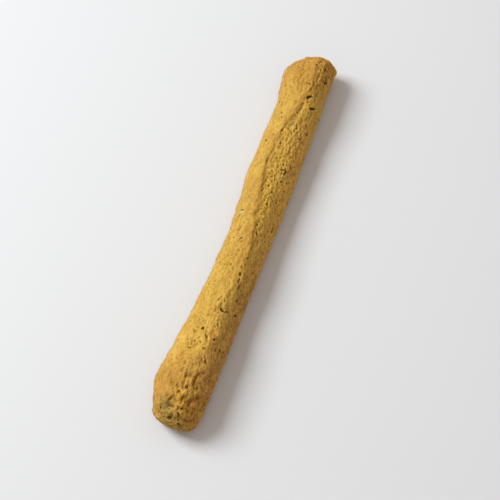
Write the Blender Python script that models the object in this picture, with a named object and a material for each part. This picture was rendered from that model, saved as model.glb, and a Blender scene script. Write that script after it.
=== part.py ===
"""A thick herb breadstick, baked on a wire mesh: one solid, lying on its flat base.

The stick lies along X, with its thick, torn end at -X and its slanted end at +X.
Its base is flat on Z = 0 and the origin is under the middle of its box.
Everything is in metres and radians.
"""

import math
from collections import namedtuple

import bpy
import numpy as np
from mathutils import Euler, Vector, noise

# Driving sizes
LENGTH = 0.1836
SEGMENTS = 48  # facets round the stick
RINGS = 102  # rows of facets from end to end

# The dough's section at chosen places along the stick: how far it reaches to its right (-Y)
# and to its left (+Y), how high its crest is, and how far to the left of the axis. The shoulder
# is the power of its right side above the waist: 2 gives an ellipse, more is boxier.
Section = namedtuple("Section", "along right left height crest shoulder")
SECTIONS = (
    Section(-0.0930, 0.0087, 0.0112, 0.0176, 0.0010, 2.1),
    Section(-0.0730, 0.0089, 0.0137, 0.0188, 0.0000, 2.0),
    Section(-0.0560, 0.0091, 0.0122, 0.0180, -0.0008, 2.0),
    Section(-0.0400, 0.0089, 0.0103, 0.0166, -0.0018, 1.95),
    Section(-0.0200, 0.0089, 0.0097, 0.0159, -0.0034, 1.95),
    Section(0.0000, 0.0092, 0.0093, 0.0157, -0.0012, 2.1),
    Section(0.0130, 0.0094, 0.0103, 0.0158, 0.0014, 2.3),
    Section(0.0300, 0.0091, 0.0116, 0.0160, 0.0036, 2.6),
    Section(0.0500, 0.0086, 0.0114, 0.0163, 0.0020, 3.0),
    Section(0.0660, 0.0082, 0.0112, 0.0166, -0.0016, 2.7),
    Section(0.0780, 0.0077, 0.0125, 0.0168, -0.0006, 2.8),
    Section(0.0930, 0.0082, 0.0142, 0.0160, 0.0000, 3.2),
)

# Each side falls from the crest to the waist, its widest place, and turns under to the base.
LEFT_POWER = 2.25
FOOT_POWER = 3.2
LEFT_WAIST = 0.27  # height of the widest place, as a share of the crest's height
RIGHT_WAIST = 0.12
FLATTENED = 0.0005  # how much the dough's own weight has flattened the base

# Each end: the higher its bluntness, the squarer it is. Its left side is cut back by the slant,
# and the higher the sharpness, the more the cut keeps to the corner. The narrowing is below 1, so
# that an end narrows later than it drops.
End = namedtuple("End", "bluntness slant sharpness narrowing")
TORN_END = End(24.0, 0.0022, 1.8, 0.50)
SLANTED_END = End(48.0, 0.0080, 2.1, 0.16)
ROUNDING_POWER = 2.3
TIP_HEIGHT = 0.42  # height of the tips, as a share of the crest's height
SLANT_REACH = 0.030

# The fold: the rolled skin stands a little proud along the crest, with a flatter flank to its right
FOLD_RISE = 0.0003
FOLD_SPREAD = math.radians(15)
FLANK_DEPTH = 0.0004
FLANK_OFFSET = math.radians(30)
FLANK_SPREAD = math.radians(20)

# Unevenness: long low lumps everywhere, and crags with a deep valley at the torn end
LUMP_SIZE = 0.013
LUMP_HEIGHT = 0.00045
TORN_REACH = 0.034
CRAG_SIZE = 0.0048
CRAG_HEIGHT = 0.0010
SLANTED_CRAG_HEIGHT = 0.0004
VALLEY_DEPTH = 0.0011
VALLEY_ANGLE = math.radians(88)  # from the left side, so 90 degrees is the top
VALLEY_SPREAD = math.radians(11)

CRUST_COLOUR = (0.60, 0.36, 0.08, 1.0)
CRUST_ROUGHNESS = 0.75


def smooth_step(value, low, high):
    """0 below low, 1 above high, and an even S between them."""
    share = min(max((value - low) / (high - low), 0.0), 1.0)
    return share * share * (3.0 - 2.0 * share)


def bell(value, middle, spread):
    """A soft bump of height 1 at middle."""
    return math.exp(-(((value - middle) / spread) ** 2))


def section_at(along):
    """The section at any place along the stick, on a smooth curve through SECTIONS."""
    last = len(SECTIONS) - 2
    index = min(max(sum(section.along < along for section in SECTIONS) - 1, 0), last)
    low, high = SECTIONS[index], SECTIONS[index + 1]
    share = smooth_step(along, low.along, high.along)
    return Section(*(a + (b - a) * share for a, b in zip(low, high)))


def nearer_end(along):
    return SLANTED_END if along > 0 else TORN_END


def closing(along):
    """Share of the full section that is left at a place along the stick, from -1 to 1."""
    end = nearer_end(along)
    return max(1.0 - abs(along) ** end.bluntness, 0.0) ** (1.0 / ROUNDING_POWER)


def even_places(count):
    """Places from -1 to 1 that are evenly spaced over the surface, round both blunt ends."""
    fine = np.sin(np.linspace(-math.pi / 2, math.pi / 2, 4001))
    radius = np.array([closing(place) for place in fine]) * SECTIONS[0].height / 2
    steps = np.hypot(np.diff(fine * LENGTH / 2), np.diff(radius))
    travelled = np.concatenate([[0.0], np.cumsum(steps)])
    return np.interp(np.linspace(0.0, travelled[-1], count), travelled, fine)


def section_point(section, angle):
    """(sideways, up) on the section's edge. Angle 0 is its left side and 90 degrees its crest."""
    on_left = math.cos(angle) >= 0
    waist_share = RIGHT_WAIST + (LEFT_WAIST - RIGHT_WAIST) * (1.0 + math.cos(angle)) / 2
    waist = waist_share * section.height
    width = section.left - section.crest if on_left else section.right + section.crest
    if math.sin(angle) >= 0:
        power = LEFT_POWER if on_left else section.shoulder
        reach = section.height - waist
    else:
        power = FOOT_POWER
        reach = waist + FLATTENED
    across = abs(math.cos(angle) / width) ** power
    upright = abs(math.sin(angle) / reach) ** power
    radius = (across + upright) ** (-1.0 / power)
    return section.crest + radius * math.cos(angle), waist + radius * math.sin(angle)


def fold_height(angle):
    """How far the fold along the crest stands out, or its flank lies back."""
    crest = math.pi / 2
    rise = FOLD_RISE * bell(angle, crest, FOLD_SPREAD)
    return rise - FLANK_DEPTH * bell(angle, crest + FLANK_OFFSET, FLANK_SPREAD)


def lump_height(place, angle):
    """The dough's unevenness at a point of its skin."""
    from_torn_end = place.x + LENGTH / 2
    torn = 1.0 - smooth_step(from_torn_end, 0.1 * TORN_REACH, TORN_REACH)
    slanted = smooth_step(place.x, 0.78 * LENGTH / 2, LENGTH / 2)
    lumps = LUMP_HEIGHT * noise.noise(place / LUMP_SIZE)
    crags = noise.noise(place / CRAG_SIZE + Vector((7.0, 3.0, 1.0)))
    valley = VALLEY_DEPTH * torn * bell(angle, VALLEY_ANGLE, VALLEY_SPREAD)
    return lumps + (CRAG_HEIGHT * torn + SLANTED_CRAG_HEIGHT * slanted) * crags - valley


def slant(place, section):
    """How far the nearer end is cut back at a point, most at its left side."""
    end = nearer_end(place.x)
    from_end = LENGTH / 2 - abs(place.x)
    reached = 1.0 - smooth_step(from_end, 0.0, SLANT_REACH)
    side = max(place.y + 0.5 * section.right, 0.0) / (section.left + 0.5 * section.right)
    return math.copysign(end.slant * reached * side**end.sharpness, place.x)


def skin_point(along, angle):
    """A point of the skin, for a place along the stick from -1 to 1 and an angle round it."""
    section = section_at(along * LENGTH / 2)
    closed = closing(along)
    sideways, up = section_point(section, angle)
    tip = TIP_HEIGHT * section.height
    middle = (section.left - section.right) / 2
    sideways = middle + (sideways - middle) * closed ** nearer_end(along).narrowing
    place = Vector((along * LENGTH / 2, sideways, tip + (up - tip) * closed))
    outward = Vector((0.0, math.cos(angle), math.sin(angle)))
    above_base = smooth_step(place.z, 0.0, 0.35 * section.height)
    place += outward * above_base * closed * (fold_height(angle) + lump_height(place, angle))
    place.x -= slant(place, section)
    place.z = max(place.z, 0.0)
    return place


def crust_material():
    material = bpy.data.materials.new("crust")
    material.use_nodes = True
    shader = material.node_tree.nodes["Principled BSDF"]
    shader.inputs["Base Color"].default_value = CRUST_COLOUR
    shader.inputs["Roughness"].default_value = CRUST_ROUGHNESS
    return material


def make_breadstick(collection):
    """A sphere whose poles are the two ends, drawn out into the stick."""
    bpy.ops.mesh.primitive_uv_sphere_add(segments=SEGMENTS, ring_count=RINGS, radius=1.0)
    stick = bpy.context.object
    stick.name = "breadstick"
    mesh = stick.data
    mesh.transform(Euler((0.0, math.pi / 2, 0.0)).to_matrix().to_4x4())
    places = even_places(RINGS + 1)
    for vertex in mesh.vertices:
        ball = vertex.co.copy()
        latitude = math.asin(max(min(ball.x, 1.0), -1.0))
        ring = round((latitude / math.pi + 0.5) * RINGS)
        angle = math.atan2(ball.z, ball.y) % (2 * math.pi)
        vertex.co = skin_point(places[ring], angle)
    centre_on_origin(mesh)
    mesh.materials.append(crust_material())
    mesh.shade_smooth()
    for other in stick.users_collection:
        other.objects.unlink(stick)
    collection.objects.link(stick)


def centre_on_origin(mesh):
    """Moves the mesh so that the origin is under the middle of its box, at the base."""
    corners = np.array([vertex.co for vertex in mesh.vertices])
    low, high = corners.min(axis=0), corners.max(axis=0)
    middle = (low + high) / 2
    for vertex in mesh.vertices:
        vertex.co -= Vector((middle[0], middle[1], low[2]))


def clear_scene():
    for scene_object in list(bpy.data.objects):
        bpy.data.objects.remove(scene_object)


def main():
    clear_scene()
    collection = bpy.data.collections.new("breadstick")
    bpy.context.scene.collection.children.link(collection)
    make_breadstick(collection)


main()
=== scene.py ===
"""Looks of a thick herb breadstick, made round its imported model.

The stick lies along X on the floor at Z = 0: its torn end is at -X, its slanted end at +X, its
smooth golden shoulder at +Y and its browned flank at -Y. Sizes are in metres, and in millimetres
where they have been divided by MM.
"""

import math
import random
from collections import namedtuple

import bmesh
import bpy
import numpy as np
from bpy.props import FloatProperty, FloatVectorProperty, IntProperty, PointerProperty
from mathutils import Matrix, Vector, noise
from mathutils.bvhtree import BVHTree


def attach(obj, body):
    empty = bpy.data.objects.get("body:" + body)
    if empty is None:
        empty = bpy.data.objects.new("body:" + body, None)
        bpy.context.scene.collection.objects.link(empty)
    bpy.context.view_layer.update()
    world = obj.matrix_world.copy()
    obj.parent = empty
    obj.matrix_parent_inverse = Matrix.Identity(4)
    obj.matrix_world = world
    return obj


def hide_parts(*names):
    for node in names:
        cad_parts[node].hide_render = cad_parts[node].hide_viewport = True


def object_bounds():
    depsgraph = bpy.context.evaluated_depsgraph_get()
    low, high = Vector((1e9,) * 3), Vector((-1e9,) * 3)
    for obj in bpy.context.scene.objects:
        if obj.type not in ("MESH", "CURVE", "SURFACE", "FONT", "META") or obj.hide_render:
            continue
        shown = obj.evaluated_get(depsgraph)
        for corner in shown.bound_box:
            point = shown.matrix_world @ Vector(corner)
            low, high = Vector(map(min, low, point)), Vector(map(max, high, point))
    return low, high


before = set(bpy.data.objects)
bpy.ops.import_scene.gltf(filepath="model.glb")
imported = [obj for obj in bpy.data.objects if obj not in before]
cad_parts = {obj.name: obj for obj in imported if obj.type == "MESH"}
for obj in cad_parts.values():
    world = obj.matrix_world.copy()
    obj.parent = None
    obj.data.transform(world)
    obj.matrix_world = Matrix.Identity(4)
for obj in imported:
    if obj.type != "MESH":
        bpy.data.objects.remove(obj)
CAD_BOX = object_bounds()

bl_info = {
    "name": "Herb breadstick",
    "version": (1, 0, 0),
    "blender": (4, 5, 0),
    "location": "View3D > Sidebar > Breadstick",
    "description": "Gives a thick herb breadstick its crust, herbs and studio",
    "category": "Object",
}

MM = 0.001
NODE = "breadstick"
BODY = "root"

# The line of the rolled fold over the top of the stick: how far along, and how far to the left.
Waypoint = namedtuple("Waypoint", "along left")
FOLD_LINE = (
    Waypoint(-0.092, -0.0020),
    Waypoint(-0.060, -0.0045),
    Waypoint(-0.040, -0.0052),
    Waypoint(-0.024, -0.0062),
    Waypoint(-0.012, -0.0062),
    Waypoint(-0.003, -0.0046),
    Waypoint(0.006, -0.0020),
    Waypoint(0.016, -0.0006),
    Waypoint(0.030, 0.0015),
    Waypoint(0.042, 0.0008),
    Waypoint(0.050, -0.0002),
    Waypoint(0.057, -0.0018),
    Waypoint(0.064, -0.0032),
    Waypoint(0.072, -0.0045),
    Waypoint(0.082, -0.0030),
    Waypoint(0.092, -0.0025),
)

# Places on the crust are given from this line inside the stick: an angle of 0 degrees is to its
# left, 90 up and 180 to its right.
CORE_LEFT = -0.001
CORE_HEIGHT = 0.005
END_DEPTH = 0.003  # how far inside each end the line stops
END_FAN = 6.0  # how strongly the rays towards the line spread out past its ends
FAR_OUT = 0.05  # well outside the crust

SWELL_HEIGHT = 0.34 * MM  # of the crust's broadest, gentlest unevenness
PORE_DEPTH = 0.55 * MM
RIM_HEIGHT = 0.17 * MM  # of the rim round each pore
CRACK_DEPTH = 0.38 * MM
TALLEST = 0.0011  # the crust's unevenness flattens off towards this height
CORNER_LOSS = 0.85  # share of its unevenness that the crust loses at a sharp corner
MARK_DEPTH = 3 * MM  # how far below or above the crust's surface a chosen dent or bump reaches

# The mesh's values are spread to their neighbours this many times, to find its corners, its narrow
# hollows and its broad ones.
CORNER_ROUNDS = 24
HOLLOW_ROUNDS = 6
LOW_ROUNDS = 40
HOLLOW_DEPTH = 0.12 * MM  # a narrow hollow this deep counts as 1
LOW_DEPTH = 0.45 * MM  # and a broad one this deep

THINNEST_LEAF = 0.13 * MM
THICKEST_LEAF = 0.22 * MM
LEAF_DROP = 2 * MM  # how far outside the crust a leaf starts, before it is laid on it

# Each seed's noise comes from another place, one such step further on, in metres.
NOISE_STEP = np.array([0.31, 0.17, 0.23])
CELL_STEP = np.array([0.13, 0.29, 0.19])
CELL_SPREAD = 37.0  # sets neighbouring cells' middles so far apart that their chances differ
ALONG_ONLY = np.array([1, 0, 0])  # for noise that varies only along the stick

FLOOR_SIZE = 4.0
FLOOR_GAP = 0.1 * MM  # how far the floor lies below the stick's base
CLOUDINESS = 0.05  # how far the floor's clouds go towards its darker colour
WINDOW_PLACE = (0.06, 0.94, 0.91)
WINDOW_SIZE = 0.6
WINDOW_COLOUR = (0.90, 0.96, 1.0)
ROOM_COLOUR = (1.0, 0.92, 0.86, 1)
CAMERA_TARGET = Vector((-4.2 * MM, -3.2 * MM, 0.0))


def smooth_step(value, low, high):
    """0 below low, 1 above high, and an even S between them."""
    share = np.clip((value - low) / (high - low), 0.0, 1.0)
    return share * share * (3.0 - 2.0 * share)


def bell(value, middle, spread):
    """A soft bump of height 1 at middle."""
    return np.exp(-(((value - middle) / spread) ** 2))


def fold_left(along):
    """How far to the left the fold runs, at places along the stick."""
    places = [point.along for point in FOLD_LINE]
    lefts = [point.left for point in FOLD_LINE]
    index = np.clip(np.searchsorted(places, along) - 1, 0, len(places) - 2)
    low, high = np.take(places, index), np.take(places, index + 1)
    share = smooth_step(along, low, high)
    return np.take(lefts, index) * (1 - share) + np.take(lefts, index + 1) * share


def counted(points, size, stretch):
    """The points, counted in lumps of that size that are drawn out along the stick by stretch."""
    return (points / (size * np.array([stretch, 1.0, 1.0]))).tolist()


def noise_over(points, size, seed, stretch=1.0):
    """Smooth noise from about -1 to 1 at each point."""
    places = counted(points + seed * NOISE_STEP, size, stretch)
    return np.array([noise.noise(place) for place in places])


def cells_over(points, size, seed, stretch):
    """How far each point is from its cell's middle, in cells, and the cell's chance from 0 to 1."""
    found = []
    for place in counted(points + seed * CELL_STEP, size, stretch):
        distances, centres = noise.voronoi(place)
        found.append((distances[0], 0.5 + 0.5 * noise.cell(centres[0] * CELL_SPREAD)))
    return np.array(found).T


# A dent or a bump at a chosen place of the crust, with its angle and its turn in degrees. A height
# below 0 is a dent. The turn is counted from along the stick, and the toast says how orange it has
# baked.
Mark = namedtuple("Mark", "along angle length width height turn toast")
MARKS = (
    Mark(0.0890, 165, 0.0050, 0.0060, 0.0007, 0, 0.0),
    Mark(0.0868, 100, 0.0032, 0.0022, 0.0006, -49, 0.4),
    Mark(0.0837, 135, 0.0018, 0.0011, 0.0004, -2, 0.9),
    Mark(0.0820, 128, 0.0019, 0.0011, 0.0004, -14, 0.9),
    Mark(0.0838, 121, 0.0036, 0.0016, -0.0006, 11, 0.0),
    Mark(0.0830, 15, 0.0060, 0.0080, 0.0003, 0, 0.0),
    Mark(0.0800, 74, 0.0020, 0.0009, -0.0006, -35, 0.3),
    Mark(0.0781, 113, 0.0056, 0.0010, -0.0005, -2, 0.0),
    Mark(0.0734, 64, 0.0044, 0.0009, -0.0004, -14, 0.2),
    Mark(0.0729, 95, 0.0010, 0.0009, -0.0006, 0, 0.1),
    Mark(0.0690, 124, 0.0068, 0.0016, -0.0005, -4, 0.0),
    Mark(0.0670, 110, 0.0028, 0.0015, -0.0010, -47, 0.0),
    Mark(0.0588, 101, 0.0064, 0.0009, -0.0005, -13, 0.2),
    Mark(0.0506, 112, 0.0012, 0.0009, -0.0007, 0, 0.4),
    Mark(0.0473, 106, 0.0013, 0.0008, -0.0005, -10, 0.1),
    Mark(0.0467, 83, 0.0018, 0.0009, -0.0006, -15, 0.2),
    Mark(0.0441, 68, 0.0013, 0.0010, -0.0005, -54, 0.6),
    Mark(0.0408, 91, 0.0014, 0.0009, -0.0006, -10, 0.2),
    Mark(0.0392, 79, 0.0026, 0.0009, -0.0004, 19, 0.3),
    Mark(0.0315, 77, 0.0048, 0.0007, -0.0003, -2, 0.1),
    Mark(0.0243, 126, 0.0013, 0.0009, -0.0006, -30, 0.2),
    Mark(0.0216, 146, 0.0013, 0.0009, -0.0006, 0, 0.3),
    Mark(0.0209, 90, 0.0036, 0.0008, -0.0005, -14, 0.1),
    Mark(0.0197, 102, 0.0015, 0.0009, -0.0007, -10, 0.3),
    Mark(0.0166, 92, 0.0030, 0.0007, -0.0005, -14, 0.1),
    Mark(0.0164, 144, 0.0013, 0.0009, -0.0006, 0, 0.3),
    Mark(0.0146, 137, 0.0013, 0.0009, -0.0006, 0, 0.2),
    Mark(0.0114, 114, 0.0014, 0.0010, -0.0008, 0, 0.3),
    Mark(0.0034, 161, 0.0036, 0.0020, -0.0020, -29, 0.0),
    Mark(-0.0006, 166, 0.0036, 0.0018, 0.0004, 33, 0.0),
    Mark(-0.0036, 118, 0.0036, 0.0009, -0.0008, 28, 0.0),
    Mark(-0.0207, 113, 0.0014, 0.0010, -0.0007, 10, 0.2),
    Mark(-0.0208, 89, 0.0013, 0.0009, -0.0006, 0, 0.2),
    Mark(-0.0239, 116, 0.0021, 0.0012, -0.0008, 17, 0.2),
    Mark(-0.0252, 123, 0.0038, 0.0016, 0.0005, 21, 0.0),
    Mark(-0.0264, 118, 0.0018, 0.0010, -0.0007, 10, 0.1),
    Mark(-0.0289, 124, 0.0017, 0.0011, -0.0008, 10, 0.1),
    Mark(-0.0301, 72, 0.0013, 0.0010, 0.0004, -7, 0.0),
    Mark(-0.0357, 103, 0.0036, 0.0016, 0.0005, -10, 0.0),
    Mark(-0.0374, 95, 0.0028, 0.0009, -0.0006, -24, 0.2),
    Mark(-0.0391, 150, 0.0024, 0.0012, -0.0005, -24, 0.0),
    Mark(-0.0395, 98, 0.0040, 0.0015, 0.0005, -10, 0.0),
    Mark(-0.0426, 93, 0.0032, 0.0014, 0.0005, -14, 0.0),
    Mark(-0.0484, 111, 0.0018, 0.0010, -0.0005, 10, 0.1),
    Mark(-0.0542, 75, 0.0010, 0.0009, -0.0006, 0, 0.6),
    Mark(-0.0553, 100, 0.0026, 0.0011, -0.0008, 25, 0.0),
    Mark(-0.0580, 127, 0.0030, 0.0011, -0.0007, 31, 0.0),
    Mark(-0.0595, 79, 0.0030, 0.0009, -0.0004, 21, 0.2),
    Mark(-0.0650, 116, 0.0036, 0.0010, -0.0007, 44, 0.0),
    Mark(-0.0735, 92, 0.0046, 0.0014, -0.0006, 12, 0.0),
    Mark(-0.0736, 110, 0.0058, 0.0009, -0.0007, -3, 0.1),
    Mark(-0.0745, 103, 0.0026, 0.0018, 0.0005, 2, 0.0),
    Mark(-0.0749, 127, 0.0022, 0.0009, -0.0007, 45, 0.0),
    Mark(-0.0767, 128, 0.0036, 0.0022, 0.0006, 37, 0.0),
    Mark(-0.0774, 93, 0.0044, 0.0014, -0.0006, 11, 0.0),
    Mark(-0.0776, 135, 0.0030, 0.0009, -0.0007, 6, 0.0),
    Mark(-0.0787, 119, 0.0036, 0.0018, 0.0006, 28, 0.0),
    Mark(-0.0792, 133, 0.0022, 0.0013, -0.0010, -41, 0.0),
    Mark(-0.0804, 99, 0.0044, 0.0024, 0.0007, -19, 0.2),
    Mark(-0.0807, 90, 0.0022, 0.0013, -0.0009, -9, 0.8),
    Mark(-0.0821, 92, 0.0095, 0.0020, 0.0006, 35, 0.2),
    Mark(-0.0828, 131, 0.0054, 0.0032, 0.0004, 5, 1.0),
    Mark(-0.0831, 117, 0.0036, 0.0026, -0.0008, -12, 0.4),
    Mark(-0.0825, 147, 0.0026, 0.0010, -0.0005, -19, 0.3),
    Mark(-0.0829, 101, 0.0032, 0.0010, -0.0006, -8, 0.4),
    Mark(-0.0841, 81, 0.0032, 0.0009, -0.0005, -21, 0.2),
    Mark(-0.0850, 108, 0.0044, 0.0022, 0.0007, -42, 0.5),
    Mark(-0.0859, 122, 0.0028, 0.0015, -0.0005, -32, 0.4),
    Mark(-0.0862, 153, 0.0036, 0.0018, -0.0006, -22, 0.0),
    Mark(-0.0867, 88, 0.0032, 0.0011, -0.0006, -78, 0.0),
    Mark(-0.0886, 140, 0.0034, 0.0016, -0.0006, -56, 0.0),
    Mark(-0.0905, 88, 0.0032, 0.0022, -0.0010, -70, 0.1),
)

# A chopped leaf at a chosen place. Its angle and turn are counted as a mark's are. Its bend says how
# far its tips lie to one side, as a share of half its length, and dark is 0 for the palest leaf and
# 1 for the darkest.
Leaf = namedtuple("Leaf", "along angle length width turn bend dark")
LEAVES = (
    Leaf(0.0836, 98, 0.0013, 0.0008, 86, 0.1, 0.6),
    Leaf(0.0828, 141, 0.0012, 0.0010, 20, 0.1, 0.7),
    Leaf(0.0801, 133, 0.0014, 0.0012, 42, 0.1, 0.8),
    Leaf(0.0788, 137, 0.0028, 0.0014, -57, 0.1, 0.9),
    Leaf(0.0780, 127, 0.0016, 0.0010, -18, 0.1, 0.4),
    Leaf(0.0728, 100, 0.0012, 0.0008, 87, 0.1, 0.9),
    Leaf(0.0717, 42, 0.0013, 0.0007, -61, 0.1, 0.7),
    Leaf(0.0675, 113, 0.0018, 0.0010, -70, 0.1, 0.8),
    Leaf(0.0668, 108, 0.0015, 0.0011, -30, 0.1, 1.0),
    Leaf(0.0636, 38, 0.0014, 0.0007, 90, 0.1, 0.7),
    Leaf(0.0628, 127, 0.0036, 0.0013, -60, 0.15, 1.0),
    Leaf(0.0543, 130, 0.0019, 0.0009, 45, 0.3, 0.6),
    Leaf(0.0515, 144, 0.0016, 0.0009, -18, 0.1, 0.8),
    Leaf(0.0470, 131, 0.0016, 0.0008, -36, 0.2, 0.8),
    Leaf(0.0464, 123, 0.0010, 0.0007, -36, 0.1, 0.7),
    Leaf(0.0412, 54, 0.0015, 0.0009, -50, 0.1, 0.8),
    Leaf(0.0325, 137, 0.0017, 0.0008, 15, 0.1, 0.4),
    Leaf(0.0295, 121, 0.0026, 0.0009, 85, 0.1, 1.0),
    Leaf(0.0286, 125, 0.0022, 0.0010, -12, -0.2, 1.0),
    Leaf(0.0242, 126, 0.0013, 0.0008, -50, 0.1, 0.8),
    Leaf(0.0058, 61, 0.0020, 0.0005, -86, 0.3, 0.9),
    Leaf(0.0047, 186, 0.0017, 0.0008, 0, 0.1, 0.9),
    Leaf(0.0033, 161, 0.0026, 0.0015, -29, 0.1, 0.9),
    Leaf(0.0032, 57, 0.0016, 0.0005, -35, 0.2, 0.9),
    Leaf(-0.0079, 89, 0.0014, 0.0006, 95, 0.1, 0.8),
    Leaf(-0.0160, 116, 0.0018, 0.0006, -36, 0.2, 0.8),
    Leaf(-0.0345, 132, 0.0016, 0.0010, -23, 0.1, 0.9),
    Leaf(-0.0391, 156, 0.0016, 0.0009, -41, 0.1, 0.6),
    Leaf(-0.0415, 118, 0.0014, 0.0010, -55, 0.2, 1.0),
    Leaf(-0.0420, 112, 0.0016, 0.0006, 80, 0.3, 0.8),
    Leaf(-0.0418, 106, 0.0024, 0.0010, 45, -0.3, 1.0),
    Leaf(-0.0523, 88, 0.0016, 0.0015, 0, 0.1, 1.0),
    Leaf(-0.0551, 114, 0.0014, 0.0011, -45, 0.1, 1.0),
    Leaf(-0.0569, 139, 0.0022, 0.0009, 38, 0.1, 0.5),
    Leaf(-0.0605, 102, 0.0010, 0.0009, -35, 0.1, 0.3),
    Leaf(-0.0618, 79, 0.0018, 0.0008, -84, 0.2, 0.5),
    Leaf(-0.0780, 100, 0.0015, 0.0012, -30, 0.2, 0.5),
    Leaf(-0.0904, 88, 0.0013, 0.0010, 0, 0.1, 0.7),
    Leaf(-0.0884, 106, 0.0022, 0.0011, 51, 0.2, 0.5),
    Leaf(-0.0914, 128, 0.0015, 0.0008, -70, 0.1, 0.8),
)
# Pale herb slivers: their pale colour is partly painted highlight on the herb pieces.
PALE_SLIVERS = (
    Leaf(-0.0907, 132, 0.0018, 0.0006, -67, 0.1, 0.4),
    Leaf(-0.0880, 95, 0.0009, 0.0004, -78, 0.1, 0.6),
    Leaf(-0.0030, 74, 0.0034, 0.0005, -24, 0.25, 1.0),
    Leaf(0.0049, 59, 0.0026, 0.0009, -86, 0.3, 0.1),
    Leaf(0.0037, 55, 0.0017, 0.0008, -45, 0.3, 0.5),
    Leaf(0.0103, 63, 0.0028, 0.0007, -7, 0.2, 0.6),
    Leaf(0.0511, 95, 0.0032, 0.0006, -43, 0.2, 0.5),
)


def values_of(items, name, columns, kind):
    """One property of all the items, with a row for each."""
    values = np.empty(len(items) * columns, kind)
    items.foreach_get(name, values)
    return values.reshape(-1, columns)


class Skin:
    """The points of the crust's mesh, and where each one lies on the stick."""

    def __init__(self, mesh):
        self.points = values_of(mesh.vertices, "co", 3, float)
        self.normals = values_of(mesh.vertex_normals, "vector", 3, np.float32).astype(float)
        self.edges = values_of(mesh.edges, "vertices", 2, int)
        self.along, self.left, self.height = self.points.T
        top = self.top_height()
        self.rise = self.height / top
        self.angle = np.degrees(np.arctan2(self.height - CORE_HEIGHT, self.left - CORE_LEFT))
        self.angle = np.where(self.angle < -90, self.angle + 360, self.angle)
        wander = 0.7 * MM * noise_over(self.points * ALONG_ONLY, 5 * MM, seed=1)
        beside = self.left - fold_left(self.along) + wander
        self.from_fold = np.sign(beside) * np.hypot(beside, top - self.height)
        self.find_regions()

    def find_regions(self):
        """The stick's regions, as shares from 0 to 1, and the unevenness of their edges."""
        along = self.along / MM
        self.patchy = noise_over(self.points, 5 * MM, seed=2, stretch=1.6)
        ragged = noise_over(self.points, 1.6 * MM, seed=3, stretch=1.5)
        self.uneven = 0.6 * self.patchy + 0.4 * ragged
        self.slanted_half = smooth_step(along, -16, 0)
        self.slanted_end = smooth_step(along, 72, 84)
        self.torn_end = smooth_step(-along + 7 * self.uneven, 58, 74)
        self.above_valley = smooth_step(self.angle + 6 * self.uneven, 74, 90)
        on_right = smooth_step(self.angle, 85, 110)
        torn_half = 1 - smooth_step(along, -30, 5)
        flank_top = 0.66 + 0.24 * torn_half + 0.12 * self.slanted_half + 0.10 * self.uneven
        self.flank = on_right * (1 - smooth_step(self.rise, flank_top - 0.24, flank_top + 0.06))
        self.foot = (1 - on_right) * (1 - smooth_step(self.rise, 0.10, 0.34))

    def top_height(self):
        """The height of the stick's crest over each point."""
        slices = np.linspace(CAD_BOX[0][0], CAD_BOX[1][0], num=60)
        nearest = np.searchsorted(slices, self.along).clip(0, len(slices) - 1)
        tops = np.zeros(len(slices))
        np.maximum.at(tops, nearest, self.height)
        tops[0] = tops[1]
        evened = np.convolve(np.pad(tops, 2, "edge"), np.ones(5) / 5, "valid")
        return np.interp(self.along, slices, evened)

    def near(self, along, reach, angle, spread):
        """How near each point is to a place on the crust: 1 there, and less the further off it is.

        The place and the reach along the stick are in millimetres, and the angles in degrees.
        """
        return bell(self.along / MM, along, reach) * bell(self.angle, angle, spread)

    def sharpness(self):
        """How sharp an edge each point is on: 0 along the stick's round sides and 1 at a corner."""
        nearby = np.stack([self.averaged(column, CORNER_ROUNDS) for column in self.points.T], axis=1)
        outside = np.sum((self.points - nearby) * self.normals, axis=1)
        return smooth_step(outside / MM, 0.16, 0.45)

    def averaged(self, values, rounds):
        """The values spread to their neighbours a number of times."""
        first, second = self.edges.T
        links = np.bincount(self.edges.ravel(), minlength=len(values))
        for _ in range(rounds):
            total = np.bincount(first, values[second], len(values))
            total += np.bincount(second, values[first], len(values))
            values = (values + total) / (1 + links)
        return values


def zones(skin):
    """What the crust is like at each point, and where light is painted on it, as shares from 0 to 1."""
    shares = {
        "olive": olive_share(skin),
        "brown": brown_share(skin),
        "torn": skin.torn_end * (0.45 + 0.55 * skin.above_valley) + 0.5 * skin.slanted_end,
        "herby": herby_share(skin),
        "tanned": tanned_share(skin),
        "painted_light": painted_light_share(skin),
    }
    return {name: np.clip(share, 0, 1) for name, share in shares.items()}


def olive_share(skin):
    """Bare olive crumb: all along the fold's right side, at the torn end, and in two patches."""
    right_side = smooth_step(-skin.from_fold / MM + 2.2 * skin.uneven, -0.6, 1.8)
    strength = np.maximum.reduce([
        right_side * (0.28 + 0.72 * skin.slanted_half) * (1 - 0.45 * skin.slanted_end),
        0.9 * skin.torn_end * skin.above_valley,
        0.85 * skin.near(-57, 9, 95, 26),
        0.45 * skin.near(-46, 22, 70, 45),
    ])
    return strength + 0.25 * skin.uneven * strength


def brown_share(skin):
    """Baked brown: the flank, the foot of the left side, and the skin at both ends."""
    along = skin.along / MM
    flank = skin.flank * (0.86 + 0.5 * skin.uneven) * (1 - 0.5 * skin.slanted_half)
    return np.maximum.reduce([
        flank + 0.75 * skin.foot,
        0.35 * skin.slanted_end * np.clip(0.5 + 2 * skin.patchy, 0, 1),
        0.65 * smooth_step(-along + 5 * skin.uneven, 78, 88) * (1 - skin.above_valley),
    ])


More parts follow.
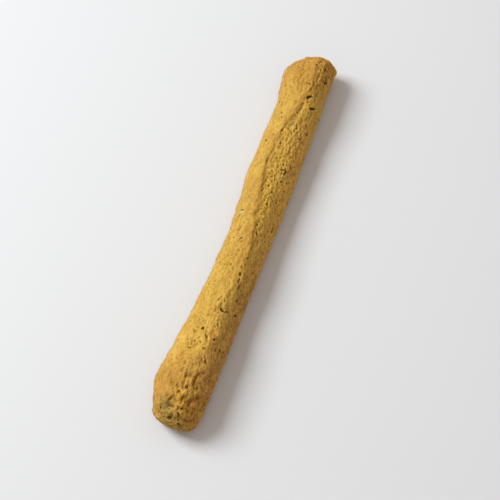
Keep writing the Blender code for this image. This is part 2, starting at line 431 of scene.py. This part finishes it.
def tanned_share(skin):
    """Golden skin that has baked darker: the fold's lip, three spots, and the skin at both ends."""
    along = skin.along / MM
    lip_reach = smooth_step(along, -22, -10) * (1 - smooth_step(along, 72, 80))
    share = np.maximum.reduce([
        0.8 * bell(skin.from_fold / MM, 0.5, 1.4) * lip_reach,
        0.9 * skin.near(-8, 20, 99, 16),
        0.5 * skin.near(21, 13, 68, 18),
        0.4 * skin.near(-37, 13, 8, 18),
        smooth_step(along + 6 * skin.uneven, 64, 80) * (1 - 0.6 * skin.flank),
        smooth_step(-along + 8 * skin.uneven, 60, 76) * (1 - skin.above_valley),
        0.9 * smooth_step(-along + 3 * skin.uneven, 87, 91) * (1 - skin.above_valley),
    ])
    return share * (0.8 + 1.2 * skin.uneven)


def herby_share(skin):
    """Crumb full of herbs: the torn end's face, and a small patch on its upper side."""
    start = 80.5 + 5 * smooth_step(skin.angle, 90, 106)
    end_face = smooth_step(-skin.along / MM + 4 * skin.patchy - start, 0, 5)
    end_face *= smooth_step(skin.angle + 8 * skin.uneven, 52, 68)
    clumps = np.clip(1.0 + 0.9 * skin.uneven, 0, 1)
    return np.maximum(end_face * clumps, 0.6 * skin.near(-73, 6, 93, 7))


def painted_light_share(skin):
    """Painted light on the shaded flank: the slanted half's flank, a bright band above it, and one patch.
    """
    along = skin.along / MM
    band_reach = smooth_step(along, -22, -4) * (1 - smooth_step(along, 60, 76))
    band = (0.4 + 0.9 * bell(along, 46, 9)) * band_reach * bell(skin.angle, 130, 18)
    return np.maximum.reduce([
        0.7 * skin.flank * smooth_step(along, -34, -6),
        band,
        0.75 * skin.near(-57, 16, 113, 15),
    ])


def creases(skin, size, seed, stretch):
    """Fine wrinkles: 1 along their bottoms, and falling off quickly to both sides."""
    width = 0.16
    aside = np.abs(noise_over(skin.points, size, seed, stretch)) / width
    return np.clip(1 - aside, 0, 1) ** 1.5


def fold_relief(skin):
    """The rolled skin's lip along the fold, and the crack that opens under it here and there."""
    place = skin.from_fold / MM
    along = skin.along / MM
    lip = 0.30 * smooth_step(place, -0.3, 0.35) * (1 - smooth_step(place, 0.5, 4.0))
    hollow = 0.18 * bell(place, -1.6, 1.6)
    shown = smooth_step(along, -24, -8) * (1 - 0.6 * smooth_step(along, 74, 86))
    opens = smooth_step(noise_over(skin.points * ALONG_ONLY, 4 * MM, seed=4), 0.02, 0.38)
    reach = smooth_step(along, -2, 22) * (1 - smooth_step(along, 70, 76))
    crack = bell(place, -0.1, 0.32) * opens * reach
    return (lip - hollow) * shown * MM, crack


def pores(skin, spacing, stretch, share, widest, seed):
    """Small holes drawn out along the stick and the rims raised round them, both from 0 to 1.

    A share of the cells of that spacing hold a pore, and the widest is a radius in spacings.
    """
    bend = 0.16 * MM * noise_over(skin.points, 0.7 * MM, seed + 1)
    inside, chance = cells_over(skin.points + bend[:, None], spacing, seed, stretch)
    radius = widest * (0.45 + 0.55 * chance / share)
    hole = 1 - smooth_step(inside, 0.45 * radius, radius)
    rim = bell(inside, 1.35 * radius, 0.45 * radius)
    return np.where(chance < share, hole, 0.0), np.where(chance < share, rim, 0.0)


def all_pores(skin, olive):
    """The open crumb's pores with the skin's fewer and finer ones, and their rims."""
    crumb_hole, crumb_rim = pores(skin, 2.0 * MM, stretch=1.8, share=0.50, widest=0.32, seed=31)
    skin_hole, skin_rim = pores(skin, 3.4 * MM, stretch=1.8, share=0.26, widest=0.19, seed=32)
    in_crumb = 0.2 + 0.8 * olive
    in_skin = 1 - olive
    hole = np.clip(crumb_hole * in_crumb + skin_hole * in_skin, 0, 1)
    return hole, crumb_rim * in_crumb + 0.5 * skin_rim * in_skin


def graininess(skin, olive, brown):
    """The height of the crust's grain, dimples, drag marks and wrinkles."""
    coarse = 0.21 * noise_over(skin.points, 0.95 * MM, seed=43, stretch=1.4)
    fine = 0.14 * noise_over(skin.points, 0.6 * MM, seed=44, stretch=1.2)
    dimples = 0.34 * (1 + 0.5 * brown) * noise_over(skin.points, 2.6 * MM, seed=45, stretch=1.5)
    drag = 0.18 * noise_over(skin.points, 1.1 * MM, seed=42, stretch=4.0)
    wrinkles = 0.11 * creases(skin, 1.9 * MM, seed=46, stretch=1.9) * (0.6 + 0.4 * olive)
    return ((coarse + fine) * (1 + 0.6 * olive + brown) + dimples + drag - wrinkles) * MM


def crags(skin):
    """The torn end's soft lumps, from two sizes of cell drawn out askew to the stick."""
    askew = skin.points @ np.array(Matrix.Rotation(math.radians(-35), 3, "Z"))
    bends = [noise_over(askew, 2.2 * MM, seed=11 + axis) for axis in range(3)]
    bent = askew + 0.9 * MM * np.stack(bends, axis=1)
    inside, _ = cells_over(bent, 3.4 * MM, seed=14, stretch=1.6)
    fine_inside, _ = cells_over(bent, 1.5 * MM, seed=15, stretch=1.5)
    swells = 0.9 * noise_over(bent, 3.0 * MM, seed=16, stretch=1.5)
    return (swells + 0.75 * (0.30 - inside**2) + 0.20 * (0.30 - fine_inside**2)) * MM


def mesh_imprint(skin, pitch):
    """Grooves that the baking mesh's wires have pressed into the underside, 1 at their deepest.

    The dough has sagged into the mesh a little unevenly, and hardly at all on the left of its
    slanted half. The torn end's rim stays clear of the mesh.
    """
    wave = 0.8 * MM * noise_over(skin.points, 14 * MM, seed=21)
    across_wires = 1 - np.abs(np.sin(np.pi * (skin.along + wave) / pitch))
    across_wires = np.maximum(across_wires, smooth_step(-skin.along / MM, 88.5, 90.5))
    along_wires = 1 - np.abs(np.sin(np.pi * (skin.left + wave) / pitch))
    underneath = smooth_step(-skin.normals[:, 2], 0.45, 0.9)
    reach = 4.2 + 1.6 * noise_over(skin.points, 5 * MM, seed=22)
    low = 1 - smooth_step(skin.height / MM / reach, 0.35, 1.2)
    sagged = np.clip(0.85 + 0.5 * noise_over(skin.points, 9 * MM, seed=23), 0.3, 1.0)
    held_up = smooth_step(skin.left / MM, 2, 7) * smooth_step(skin.along / MM, -8, 10)
    share = sagged * (1 - 0.7 * held_up * (1 - underneath))
    return np.maximum(across_wires, along_wires * underneath) ** 1.3 * low * share


def mark_shapes(skin, surface):
    """The relief of the chosen dents and bumps, and how orange they have toasted."""
    relief = np.zeros(len(skin.points))
    toast = np.zeros(len(skin.points))
    ragged = 1 + 0.7 * noise_over(skin.points, 0.9 * MM, seed=51)
    for mark in MARKS:
        place, normal = place_on(surface, mark.along, mark.angle)
        ahead, aside = directions_on(normal, mark.turn)
        offset = skin.points - place
        length = offset @ np.array(ahead) / (mark.length / 2)
        width = offset @ np.array(aside) / (mark.width / 2)
        depth = offset @ np.array(normal) / MARK_DEPTH
        reach = np.sqrt(length**2 + width**2 + depth**2) * ragged
        relief += mark.height * (1 - smooth_step(reach, 0.35, 1.25))
        toast = np.maximum(toast, mark.toast * (1 - smooth_step(reach, 0.6, 1.6)))
    return relief, toast


def core_at(along):
    """The nearest point of the line inside the stick."""
    first, last = CAD_BOX[0][0] + END_DEPTH, CAD_BOX[1][0] - END_DEPTH
    return Vector((min(max(along, first), last), CORE_LEFT, CORE_HEIGHT))


def place_on(surface, along, angle):
    """The point and normal of the crust at a place along the stick and an angle round it."""
    turn = math.radians(angle)
    inward = Vector((0.0, -math.cos(turn), -math.sin(turn)))
    core = core_at(along)
    start = core - inward * FAR_OUT
    start.x += (along - core.x) * END_FAN
    place, normal, _, _ = surface.ray_cast(start, core - start)
    return place, normal


def directions_on(normal, turn):
    """Two directions in the crust's surface: one turned from along the stick, and one across it."""
    ahead = (Vector((1, 0, 0)) - normal * normal.x).normalized()
    ahead = Matrix.Rotation(math.radians(turn), 3, normal) @ ahead
    return ahead, normal.cross(ahead)


def fine_mesh(settings):
    """A fine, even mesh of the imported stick's shape."""
    rough = bpy.data.objects.new("rough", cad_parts[NODE].data.copy())
    bpy.context.scene.collection.objects.link(rough)
    remesh = rough.modifiers.new("even_faces", "REMESH")
    remesh.mode = "VOXEL"
    remesh.voxel_size = settings.fineness
    smooth = rough.modifiers.new("soften", "SMOOTH")
    smooth.factor = 0.5
    smooth.iterations = 10
    graph = bpy.context.evaluated_depsgraph_get()
    mesh = bpy.data.meshes.new_from_object(rough.evaluated_get(graph))
    bpy.data.objects.remove(rough)
    return mesh


def shape_crust(mesh, settings):
    """Moves the mesh's points into the crust's relief, and stores the zones for its material."""
    skin = Skin(mesh)
    zone = zones(skin)
    lip, crack = fold_relief(skin)
    hole, rim = all_pores(skin, zone["olive"])
    marks, toast = mark_shapes(skin, surface_of(mesh))
    swell = SWELL_HEIGHT * noise_over(skin.points, 8 * MM, seed=41, stretch=2.2)
    grain = graininess(skin, zone["olive"], zone["brown"]) * settings.roughness
    relief = swell + grain + RIM_HEIGHT * rim - PORE_DEPTH * hole - CRACK_DEPTH * crack
    raised = smooth_step(skin.height / MM, 1.5, 7.0)
    relief += zone["torn"] * raised * crags(skin) + lip
    above_base = smooth_step(skin.height / MM, 1.0, 3.6)
    relief = TALLEST * np.tanh(relief / TALLEST) * above_base * (1 - CORNER_LOSS * skin.sharpness())
    relief += marks - settings.imprint * mesh_imprint(skin, settings.mesh_pitch)
    moved = skin.points + skin.normals * relief[:, None]
    moved[:, 2] = np.maximum(moved[:, 2], 0.0)
    mesh.vertices.foreach_set("co", moved.ravel())
    stored = dict(zone, toast=toast)
    # how hollow each point lies among its near neighbours: the material darkens these hollows with painted
    # shade
    stored["hollow"] = (skin.averaged(relief, HOLLOW_ROUNDS) - relief) / HOLLOW_DEPTH
    # how low each point lies among its wider neighbours: the material darkens the torn end's broad hollows
    # with painted shade
    stored["low"] = (skin.averaged(relief, LOW_ROUNDS) - relief) / LOW_DEPTH
    # how deep each point lies in a pore, crack or dent: the material darkens it with painted shade
    stored["deep"] = np.clip(0.8 * hole + 0.55 * crack + np.clip(-marks / MM, 0, 1), 0, 1)
    # the pores' rims, which the material lightens with painted highlight
    stored["rim"] = np.clip(rim, 0, 1)
    stored["base"] = 1 - smooth_step(skin.height / MM, 1.0, 3.4)
    for name, values in stored.items():
        layer = mesh.attributes.new(name, "FLOAT", "POINT")
        layer.data.foreach_set("value", np.asarray(values, np.float32))
    mesh.update()


def surface_of(mesh):
    """The mesh as a surface that rays can hit."""
    points = [vertex.co for vertex in mesh.vertices]
    return BVHTree.FromPolygons(points, [tuple(face.vertices) for face in mesh.polygons])


class Link:
    """A value inside a material. Sums on it add Math nodes."""

    def __init__(self, graph, socket):
        self.graph = graph
        self.socket = socket

    def math(self, operation, first, second):
        """One Math node on two values or links."""
        settings = {"operation": operation}
        return self.graph.node("ShaderNodeMath", settings, {0: first, 1: second})

    def __add__(self, other):
        return self.math("ADD", self, other)

    def __sub__(self, other):
        return self.math("SUBTRACT", self, other)

    def __rsub__(self, other):
        return self.math("SUBTRACT", other, self)

    def __mul__(self, other):
        return self.math("MULTIPLY", self, other)

    __radd__ = __add__
    __rmul__ = __mul__


class Graph:
    """A material and the nodes that make it."""

    def __init__(self, name, roughness):
        self.material = bpy.data.materials.new(name)
        self.material.use_nodes = True
        self.tree = self.material.node_tree
        self.shader = self.tree.nodes["Principled BSDF"]
        self.shader.inputs["Roughness"].default_value = roughness

    def feed(self, socket, value):
        """Links or sets one socket."""
        if isinstance(value, Link):
            self.tree.links.new(value.socket, socket)
        else:
            socket.default_value = value

    def node(self, kind, settings=None, inputs=None, output=0):
        """A node of any kind: its settings come first, and then the values or links of its sockets."""
        made = self.tree.nodes.new(kind)
        for name, value in (settings or {}).items():
            setattr(made, name, value)
        for socket, value in (inputs or {}).items():
            self.feed(made.inputs[socket], value)
        return Link(self, made.outputs[output])

    def attribute(self, name):
        """One of the values that the mesh's points hold."""
        return self.node("ShaderNodeAttribute", {"attribute_name": name}, output="Fac")

    def mix(self, share, first, second):
        """The second colour mixed into the first."""
        settings = {"data_type": "RGBA", "clamp_factor": True}
        return self.node("ShaderNodeMix", settings, {0: share, 6: first, 7: second}, output=2)

    def ramp(self, value, low, high):
        """0 below low, 1 above high, and smooth between them."""
        settings = {"interpolation_type": "SMOOTHSTEP"}
        return self.node("ShaderNodeMapRange", settings, {0: value, 1: low, 2: high})

    def place(self, size, stretch):
        """Places on the piece, counted in lumps of that size that are drawn out along the stick."""
        place = self.node("ShaderNodeTexCoord", output="Object")
        scale = Vector((1 / stretch, 1.0, 1.0)) / size
        return self.node("ShaderNodeVectorMath", {"operation": "MULTIPLY"}, {0: place, 1: scale})

    def noise(self, size, detail, stretch=1.0, rough=0.5):
        """Noise from 0 to 1 with lumps of that size."""
        inputs = {"Vector": self.place(size, stretch), "Scale": 1.0, "Detail": detail, "Roughness": rough}
        return self.node("ShaderNodeTexNoise", {"noise_dimensions": "3D"}, inputs)

    def pits(self, size, stretch):
        """1 in the middle of fine pits, which only some of the cells of that size hold."""
        inputs = {"Vector": self.place(size, stretch), "Scale": 1.0}
        settings = {"feature": "F1"}
        inside = self.node("ShaderNodeTexVoronoi", settings, inputs)
        tint = self.node("ShaderNodeTexVoronoi", settings, inputs, output="Color")
        chance = self.node("ShaderNodeSeparateColor", None, {"Color": tint})
        return self.ramp(inside, 0.45, 0.10) * self.ramp(chance, 0.55, 0.65)

    def bump(self, height, strength, distance):
        """Fine relief that only the shading shows."""
        inputs = {"Height": height, "Strength": strength, "Distance": distance}
        self.feed(self.shader.inputs["Normal"], self.node("ShaderNodeBump", None, inputs))


def crust_material(settings):
    """Golden skin, olive crumb and browned flank, mottled, with painted shade in its hollows, pits, pores,
    cracks and dents, painted highlight on its peaks and pore rims, and painted light on its shaded flank.
    """
    graph = Graph("baked_crust", roughness=0.62)
    graph.shader.inputs["Specular IOR Level"].default_value = 0.2
    names = "olive", "brown", "torn", "toast", "herby", "tanned", "painted_light"
    olive, brown, torn, toast, herby, tanned, painted_light = map(graph.attribute, names)
    names = "hollow", "low", "deep", "rim", "base"
    hollow, low, deep, rim, base = map(graph.attribute, names)
    blotch = graph.noise(4.5 * MM, detail=3.0, stretch=1.6)
    patch = graph.noise(2.8 * MM, detail=2.0, stretch=1.6)
    speckle = graph.noise(1.7 * MM, detail=4.0, stretch=1.5, rough=0.65)
    mottle = graph.noise(1.1 * MM, detail=4.0, stretch=1.8, rough=0.62)
    streak = graph.noise(0.9 * MM, detail=2.0, stretch=4.0)
    grain = graph.noise(0.45 * MM, detail=3.0, stretch=1.3, rough=0.6)
    pit = graph.pits(0.95 * MM, stretch=1.7)
    # how far each point stands out: lightened with painted highlight, and toasted at the torn end
    peak = graph.ramp(0.0 - hollow, 0.1, 1.4)
    golden = graph.mix(graph.ramp(blotch, 0.40, 0.62), settings.golden, settings.pale)
    golden = graph.mix(graph.ramp(streak, 0.42, 0.66) * 0.6, golden, settings.tan)
    crumb = graph.mix(graph.ramp(blotch, 0.38, 0.60), settings.olive, settings.straw_and_highlight)
    mottle_share = 0.35 + 0.12 * olive + 0.2 * brown
    dark_share = 0.24 + 0.02 * olive + 0.5 * brown + 0.15 * painted_light
    pale_share = 0.12 + 0.2 * olive + 0.6 * brown + 0.15 * painted_light
    patch_share = 0.5 * brown + 0.2 * painted_light
    layers = (
        # the zones
        (olive, crumb),
        (brown, settings.brown),
        (graph.ramp(blotch, 0.42, 0.60) * brown * 0.35, settings.shade),
        # painted light, brightening the flank where it lies in shade
        (painted_light * 0.75, settings.flush),
        (tanned, settings.tan),
        (torn * graph.ramp(blotch, 0.40, 0.60) * 0.6, settings.brown),
        # painted shade in the torn end's broad hollows
        (graph.ramp(low, -0.1, 0.9) * torn * 0.65, settings.tan),
        # the mottling
        (graph.ramp(mottle, 0.50, 0.64) * mottle_share, settings.brown),
        (graph.ramp(speckle, 0.50, 0.64) * dark_share, settings.shade),
        (graph.ramp(speckle, 0.47, 0.34) * pale_share, settings.straw_and_highlight),
        (graph.ramp(patch, 0.52, 0.66) * (0.10 + patch_share), settings.shade),
        (graph.ramp(patch, 0.48, 0.34) * (0.15 + patch_share), settings.pale),
        (graph.ramp(mottle, 0.47, 0.30) * (0.30 + 0.25 * olive), settings.straw_and_highlight),
        (graph.ramp(grain, 0.52, 0.68) * (0.42 + 0.25 * brown), settings.tan),
        (graph.ramp(grain, 0.48, 0.32) * 0.40, settings.straw_and_highlight),
        # herbs and toasting
        # herby crumb, laid on more thickly in the torn end's broad hollows as painted shade
        (herby * (0.72 + 0.2 * graph.ramp(low, -0.4, 0.6)), settings.herby),
        (graph.ramp(toast * (0.5 + mottle), 0.2, 1.0) * 0.9, settings.toast),
        (base * 0.5, settings.toast),
        # hollows, peaks, rims, pits and pores: painted shade in the hollows, pits, pores, cracks and dents,
        # painted highlight on the peaks and rims, and toast on the torn end's peaks
        (graph.ramp(hollow, 0.0, 1.2) * (0.6 + 0.12 * torn), settings.shade),
        (peak * (0.35 - 0.15 * torn) + 0.35 * rim, settings.straw_and_highlight),
        (peak * torn * 0.3, settings.toast),
        # painted shade in the fine pits
        (pit * (0.16 + 0.34 * olive), settings.shade),
        (graph.ramp(deep, 0.20, 0.85) * 0.85, settings.shade),
    )
    colour = golden
    for share, layer in layers:
        colour = graph.mix(share, colour, layer)
    graph.feed(graph.shader.inputs["Base Color"], colour)
    graph.feed(graph.shader.inputs["Roughness"], 0.58 + 0.22 * mottle + 0.1 * olive)
    graph.bump(grain + 0.9 * mottle - 0.7 * pit, strength=0.9, distance=0.26 * MM)
    return graph.material


def leaf_material(name, pale, dark, roughness):
    """Dried leaf, paler or darker from one piece to the next."""
    graph = Graph(name, roughness)
    graph.shader.inputs["Specular IOR Level"].default_value = 0.05
    tone = graph.attribute("dark")
    vein = graph.noise(0.4 * MM, detail=2.0)
    colour = graph.mix(tone, pale, dark)
    colour = graph.mix(graph.ramp(vein, 0.45, 0.7) * 0.35, colour, pale)
    graph.feed(graph.shader.inputs["Base Color"], colour)
    graph.bump(vein, strength=0.4, distance=0.1 * MM)
    return graph.material


def new_piece(name, mesh, material, body=BODY):
    """An object of this mesh and material that moves with the stick."""
    piece = bpy.data.objects.new(name, mesh)
    bpy.context.scene.collection.objects.link(piece)
    mesh.materials.clear()
    mesh.materials.append(material)
    mesh.shade_smooth()
    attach(piece, body)
    return piece


def add_leaf(bm, tone, surface, leaf, rng):
    """One chopped leaf: a thin, bent flake that lies along the crust's bumps."""
    place, _ = place_on(surface, leaf.along, leaf.angle)
    outward = (place - core_at(leaf.along)).normalized()
    ahead, aside = directions_on(outward, leaf.turn)
    thick = min(max(0.2 * leaf.width, THINNEST_LEAF), THICKEST_LEAF)
    made = bmesh.ops.create_uvsphere(bm, u_segments=8, v_segments=9, radius=1.0)
    taper = rng.uniform(0.2, 0.6)
    sunk = rng.uniform(0.0, 0.3)
    for vertex in made["verts"]:
        across, up, length = vertex.co
        blunt = math.copysign(abs(length) ** 0.8, length)
        across *= 1 - taper * max(length, 0) + 0.25 * rng.uniform(-1, 1)
        bent = across * leaf.width / 2 + leaf.bend * leaf.length * 0.5 * length * length
        lift = up * thick + 0.12 * thick * rng.uniform(-1, 1) - sunk * thick
        flat = place + ahead * blunt * leaf.length / 2 + aside * bent
        under, _, _, _ = surface.ray_cast(flat + outward * LEAF_DROP, -outward, 2 * LEAF_DROP)
        vertex.co = (under or flat) + outward * lift
        vertex.co.z = max(vertex.co.z, 0.0)
        vertex[tone] = leaf.dark


def leaf_mesh(name, surface, leaves, seed):
    """All the leaves of one kind, as one mesh that also holds how dark each one is."""
    rng = random.Random(seed)
    bm = bmesh.new()
    tone = bm.verts.layers.float.new("dark")
    for leaf in leaves:
        add_leaf(bm, tone, surface, leaf, rng)
    mesh = bpy.data.meshes.new(name)
    bm.to_mesh(mesh)
    bm.free()
    return mesh


def scattered_leaves(count, seed):
    """Small flecks all over the stick."""
    rng = random.Random(seed)
    reach = CAD_BOX[1][0] - 4 * MM
    for _ in range(count):
        length = rng.triangular(low=0.0004, high=0.0012, mode=0.0006)
        yield Leaf(
            along=rng.uniform(-reach, reach),
            angle=rng.uniform(-60, 240),
            length=length,
            width=length * rng.uniform(0.5, 0.9),
            turn=rng.uniform(-90, 90),
            bend=rng.uniform(-0.3, 0.3),
            dark=rng.uniform(0.2, 0.8),
        )


def colour_property(name, description, red, green, blue):
    """A colour to set in the sidebar."""
    return FloatVectorProperty(
        name=name, description=description, subtype="COLOR", size=4, default=(red, green, blue, 1)
    )


class CrustSettings(bpy.types.PropertyGroup):
    fineness: FloatProperty(
        name="Fineness",
        description="Size of the crust's faces",
        default=0.386 * MM,
        unit="LENGTH",
        precision=5,
    )
    roughness: FloatProperty(name="Roughness", description="How grainy the crust is", default=1.0, min=0.0)
    mesh_pitch: FloatProperty(
        name="Mesh pitch", description="Spacing of the baking mesh's wires", default=4.5 * MM, unit="LENGTH"
    )
    imprint: FloatProperty(
        name="Imprint", description="How deep the wires have pressed in", default=0.95 * MM, unit="LENGTH"
    )
    golden: colour_property("Golden", "Skin", 0.52, 0.305, 0.044)
    pale: colour_property("Pale", "Paler skin", 0.60, 0.385, 0.070)
    # also the painted shade in the torn end's broad hollows
    tan: colour_property("Tan", "Darker streaks", 0.42, 0.205, 0.026)
    olive: colour_property("Olive", "Bare crumb", 0.52, 0.295, 0.037)
    # also the painted highlight on peaks and pore rims
    straw_and_highlight: colour_property("Straw", "Paler bare crumb", 0.64, 0.40, 0.062)
    brown: colour_property("Brown", "Browned flank", 0.53, 0.227, 0.055)
    # the colour of the painted light on the shaded flank
    flush: colour_property("Flush", "Lightly baked flank", 0.92, 0.51, 0.115)
    herby: colour_property("Herby", "Torn crumb full of herbs", 0.30, 0.21, 0.050)
    toast: colour_property("Toast", "Toasted bumps", 0.50, 0.185, 0.024)
    # the dark brown of the mottling, and the painted shade in hollows, pits, pores, cracks and dents
    shade: colour_property("Shade", "Inside of pores", 0.25, 0.110, 0.013)


class HerbSettings(bpy.types.PropertyGroup):
    flecks: IntProperty(name="Flecks", description="Small flecks over the whole stick", default=70, min=0)
    green: colour_property("Green", "Palest leaf", 0.20, 0.135, 0.026)
    dark: colour_property("Dark", "Darkest leaf", 0.046, 0.028, 0.006)
    # the slivers' pale colour, partly painted highlight
    pale: colour_property("Pale", "Pale slivers", 0.50, 0.45, 0.28)


class StageSettings(bpy.types.PropertyGroup):
    floor: colour_property("Floor", "Floor", 0.66, 0.66, 0.665)
    floor_dark: colour_property("Floor dark", "The floor's faint darker clouds", 0.52, 0.52, 0.52)
    window: FloatProperty(name="Window", description="Power of the cool window light", default=19.6)
    room: FloatProperty(name="Room", description="Strength of the warm, even light", default=0.53)
    lens: FloatProperty(name="Lens", description="Camera's focal length in millimetres", default=102.55)
    azimuth: FloatProperty(
        name="Azimuth", description="Camera's turn", default=math.radians(-70.4), subtype="ANGLE"
    )
    elevation: FloatProperty(
        name="Elevation", description="Camera's height", default=math.radians(62), subtype="ANGLE"
    )
    distance: FloatProperty(
        name="Distance", description="Camera's distance", default=0.6, unit="LENGTH"
    )


class BREADSTICK_OT_crust(bpy.types.Operator):
    """Make the crust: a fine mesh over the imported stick, with its relief and its material"""

    bl_idname = "breadstick.crust"
    bl_label = "Make crust"

    def execute(self, context):
        settings = context.scene.breadstick_crust
        mesh = fine_mesh(settings)
        mesh.name = "baked_crust"
        shape_crust(mesh, settings)
        crust = new_piece("baked_crust", mesh, crust_material(settings))
        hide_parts(NODE)
        return {"FINISHED"}


class BREADSTICK_OT_herbs(bpy.types.Operator):
    """Press the chopped herbs into the crust"""

    bl_idname = "breadstick.herbs"
    bl_label = "Add herbs"

    def execute(self, context):
        settings = context.scene.breadstick_herbs
        surface = surface_of(bpy.data.objects["baked_crust"].data)
        leaves = (*LEAVES, *scattered_leaves(settings.flecks, seed=5))
        material = leaf_material("dried_leaf", settings.green, settings.dark, roughness=0.6)
        new_piece("herb_flecks", leaf_mesh("herb_flecks", surface, leaves, seed=7), material)
        # pale slivers, whose paleness is partly painted highlight
        material = leaf_material("pale_leaf", settings.pale, settings.green, roughness=0.5)
        new_piece("pale_slivers", leaf_mesh("pale_slivers", surface, PALE_SLIVERS, seed=8), material)
        return {"FINISHED"}


class BREADSTICK_OT_stage(bpy.types.Operator):
    """Set the floor, the lights and the camera"""

    bl_idname = "breadstick.stage"
    bl_label = "Set stage"

    def execute(self, context):
        settings = context.scene.breadstick_stage
        set_floor(settings)
        set_lights(context.scene, settings)
        set_camera(context.scene, settings)
        return {"FINISHED"}


def set_floor(settings):
    """A plain, pale floor."""
    bpy.ops.mesh.primitive_plane_add(size=FLOOR_SIZE, location=(0.0, 0.0, -FLOOR_GAP))
    floor = bpy.context.object
    floor.name = "floor"
    graph = Graph("pale_floor", roughness=0.85)
    clouds = graph.noise(60 * MM, detail=2.0)
    colour = graph.mix(clouds * CLOUDINESS, settings.floor, settings.floor_dark)
    graph.feed(graph.shader.inputs["Base Color"], colour)
    floor.data.materials.append(graph.material)


def set_lights(scene, settings):
    """A large, soft window beyond the stick's left side, and an even light all round."""
    light = bpy.data.lights.new("window", "AREA")
    light.size = WINDOW_SIZE
    light.energy = settings.window
    light.color = WINDOW_COLOUR
    lamp = bpy.data.objects.new("window", light)
    lamp.location = WINDOW_PLACE
    lamp.rotation_euler = Vector(WINDOW_PLACE).to_track_quat("Z", "Y").to_euler()
    scene.collection.objects.link(lamp)
    world = bpy.data.worlds.new("studio")
    world.use_nodes = True
    background = world.node_tree.nodes["Background"]
    background.inputs["Color"].default_value = ROOM_COLOUR
    background.inputs["Strength"].default_value = settings.room
    scene.world = world
    scene.view_settings.view_transform = "Standard"


def set_camera(scene, settings):
    """The camera, turned and raised about its target."""
    camera = bpy.data.cameras.new("camera")
    camera.lens = settings.lens
    camera.clip_start = 0.01
    eye = bpy.data.objects.new("camera", camera)
    across, up = settings.azimuth, settings.elevation
    back = Vector((math.sin(across) * math.cos(up), -math.cos(across) * math.cos(up), math.sin(up)))
    eye.location = CAMERA_TARGET + back * settings.distance
    eye.rotation_euler = back.to_track_quat("Z", "Y").to_euler()
    scene.collection.objects.link(eye)
    scene.camera = eye


class BREADSTICK_PT_panel(bpy.types.Panel):
    """The breadstick's pieces"""

    bl_idname = "BREADSTICK_PT_panel"
    bl_label = "Herb breadstick"
    bl_space_type = "VIEW_3D"
    bl_region_type = "UI"
    bl_category = "Breadstick"

    def draw(self, context):
        for operator in OPERATORS:
            self.layout.operator(operator.bl_idname)
        for settings in SETTINGS:
            box = self.layout.box()
            for name in settings.__annotations__:
                box.prop(getattr(context.scene, SETTINGS[settings]), name)


OPERATORS = (BREADSTICK_OT_crust, BREADSTICK_OT_herbs, BREADSTICK_OT_stage)
SETTINGS = {
    CrustSettings: "breadstick_crust",
    HerbSettings: "breadstick_herbs",
    StageSettings: "breadstick_stage",
}


def register():
    """Adds the settings, the operators and the panel to Blender."""
    for made in (*SETTINGS, *OPERATORS, BREADSTICK_PT_panel):
        bpy.utils.register_class(made)
    for settings, name in SETTINGS.items():
        setattr(bpy.types.Scene, name, PointerProperty(type=settings))


def unregister():
    """Takes them away again."""
    for name in SETTINGS.values():
        delattr(bpy.types.Scene, name)
    for made in (BREADSTICK_PT_panel, *OPERATORS, *SETTINGS):
        bpy.utils.unregister_class(made)


def main():
    """Makes the stick and its studio."""
    register()
    bpy.ops.breadstick.crust()
    bpy.ops.breadstick.herbs()
    bpy.ops.breadstick.stage()


if __name__ == "__main__":
    main()
